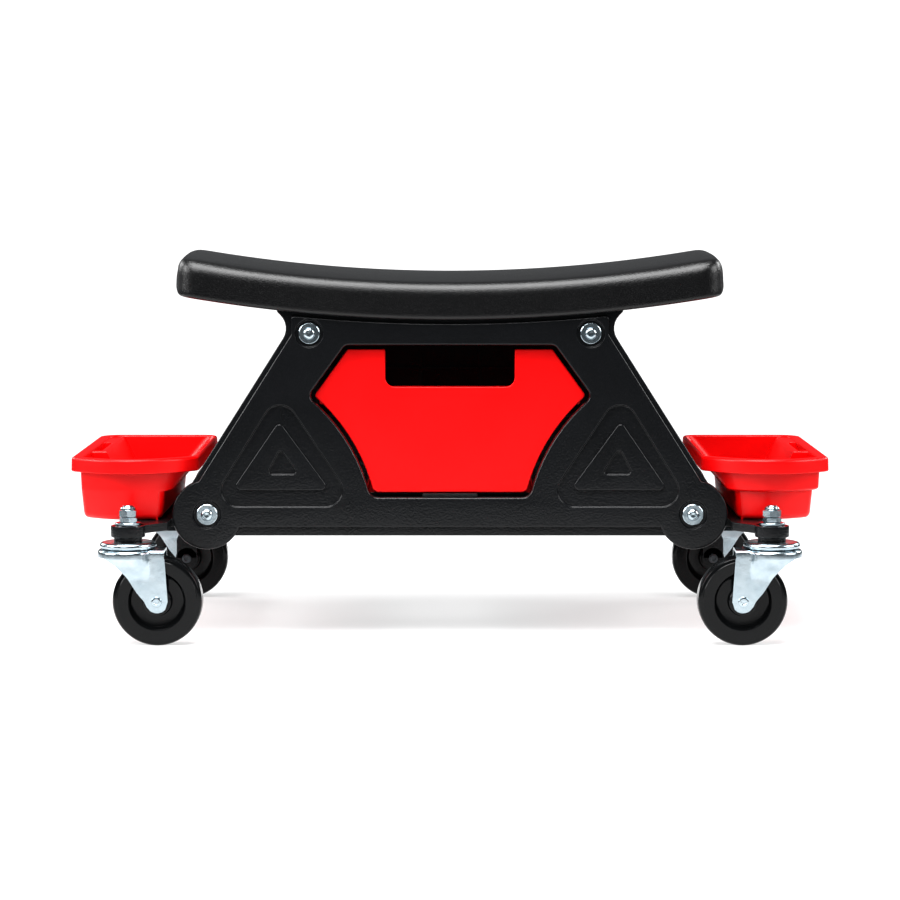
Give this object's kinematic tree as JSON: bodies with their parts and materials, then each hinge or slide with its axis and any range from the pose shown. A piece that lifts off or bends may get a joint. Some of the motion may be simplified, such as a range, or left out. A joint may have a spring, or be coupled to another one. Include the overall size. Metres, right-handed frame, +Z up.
{
  "type": "creeper seat",
  "caption": "Low rolling work seat with a saddle-shaped padded top, a drawer under it, a lift-off tray at each end and swivel casters with brakes at the back.",
  "frame": {"origin": "on the floor under the middle of the seat", "axes": "+X along the seat's length, -Y towards the side on which the drawer opens, +Z up"},
  "size_m": [0.656, 0.362, 0.329],
  "materials": {
    "black_moulding": "fine moulded grain, satin",
    "red_moulding": "smooth moulded, semi-gloss",
    "vinyl": "grained upholstery vinyl, soft sheen",
    "plywood": "black-stained plywood",
    "zinc_plate": "bright zinc plate over pressed steel",
    "dark_steel": "plain steel, lightly oiled",
    "brass": "turned",
    "wheel_plastic": "smooth moulded, satin"
  },
  "bodies": {
    "frame": {"side_panel_front": "black_moulding", "side_panel_back": "black_moulding", "caster_beam_left": "black_moulding", "caster_beam_right": "black_moulding", "seat_bracket_left": "black_moulding", "seat_bracket_right": "black_moulding", "drawer_shelf": "black_moulding", "seat_board": "plywood", "seat_cushion": "vinyl", "panel_screws": "zinc_plate", "panel_washers": "zinc_plate", "panel_inserts": "brass", "shelf_screws": "dark_steel", "seat_screws": "dark_steel", "stem_nuts": "zinc_plate", "lock_nuts": "zinc_plate", "stem_washers": "zinc_plate", "swivel_balls": "dark_steel", "stem_front_left": "zinc_plate", "stem_front_right": "zinc_plate", "stem_back_left": "zinc_plate", "stem_back_right": "zinc_plate"},
    "drawer": {"drawer": "red_moulding"},
    "tray_left": {"tray_left": "red_moulding"},
    "tray_right": {"tray_right": "red_moulding"},
    "swivel_front_left": {"fork_front_left": "zinc_plate", "axle_front_left": "zinc_plate"},
    "wheel_front_left": {"wheel_front_left": "wheel_plastic", "sleeve_front_left": "dark_steel"},
    "swivel_front_right": {"fork_front_right": "zinc_plate", "axle_front_right": "zinc_plate"},
    "wheel_front_right": {"wheel_front_right": "wheel_plastic", "sleeve_front_right": "dark_steel"},
    "swivel_back_left": {"fork_back_left": "zinc_plate", "axle_back_left": "zinc_plate"},
    "wheel_back_left": {"wheel_back_left": "wheel_plastic", "sleeve_back_left": "dark_steel"},
    "swivel_back_right": {"fork_back_right": "zinc_plate", "axle_back_right": "zinc_plate"},
    "wheel_back_right": {"wheel_back_right": "wheel_plastic", "sleeve_back_right": "dark_steel"},
    "lever_left": {"brake_lever_left": "black_moulding"},
    "lever_right": {"brake_lever_right": "black_moulding"}
  },
  "joints": [
    {"name": "drawer_slide", "type": "slide", "parent": "frame", "child": "drawer", "axis": [0, -1, 0], "range_m": [0, 0.15]},
    {"name": "tray_left_lift", "type": "slide", "parent": "frame", "child": "tray_left", "axis": [0, 0, 1], "range_m": [0, 0.08]},
    {"name": "tray_right_lift", "type": "slide", "parent": "frame", "child": "tray_right", "axis": [0, 0, 1], "range_m": [0, 0.08]},
    {"name": "swivel_front_left", "type": "hinge", "parent": "frame", "child": "swivel_front_left", "pos_m": [-0.2735, -0.155, 0.081], "axis": [0, 0, 1], "continuous": true},
    {"name": "roll_front_left", "type": "hinge", "parent": "swivel_front_left", "child": "wheel_front_left", "pos_m": [-0.2485, -0.155, 0.038], "axis": [0, 1, 0], "continuous": true},
    {"name": "swivel_front_right", "type": "hinge", "parent": "frame", "child": "swivel_front_right", "pos_m": [0.2735, -0.155, 0.081], "axis": [0, 0, 1], "continuous": true},
    {"name": "roll_front_right", "type": "hinge", "parent": "swivel_front_right", "child": "wheel_front_right", "pos_m": [0.2485, -0.155, 0.038], "axis": [0, 1, 0], "continuous": true},
    {"name": "swivel_back_left", "type": "hinge", "parent": "frame", "child": "swivel_back_left", "pos_m": [-0.2735, 0.155, 0.081], "axis": [0, 0, 1], "continuous": true},
    {"name": "roll_back_left", "type": "hinge", "parent": "swivel_back_left", "child": "wheel_back_left", "pos_m": [-0.2485, 0.155, 0.038], "axis": [0, 1, 0], "continuous": true},
    {"name": "swivel_back_right", "type": "hinge", "parent": "frame", "child": "swivel_back_right", "pos_m": [0.2735, 0.155, 0.081], "axis": [0, 0, 1], "continuous": true},
    {"name": "roll_back_right", "type": "hinge", "parent": "swivel_back_right", "child": "wheel_back_right", "pos_m": [0.2485, 0.155, 0.038], "axis": [0, 1, 0], "continuous": true},
    {"name": "brake_left", "type": "hinge", "parent": "swivel_back_left", "child": "lever_left", "pos_m": [-0.2485, 0.155, 0.038], "axis": [0, 1, 0], "range_deg": [0, 25]},
    {"name": "brake_right", "type": "hinge", "parent": "swivel_back_right", "child": "lever_right", "pos_m": [0.2485, 0.155, 0.038], "axis": [0, -1, 0], "range_deg": [0, 25]}
  ]
}
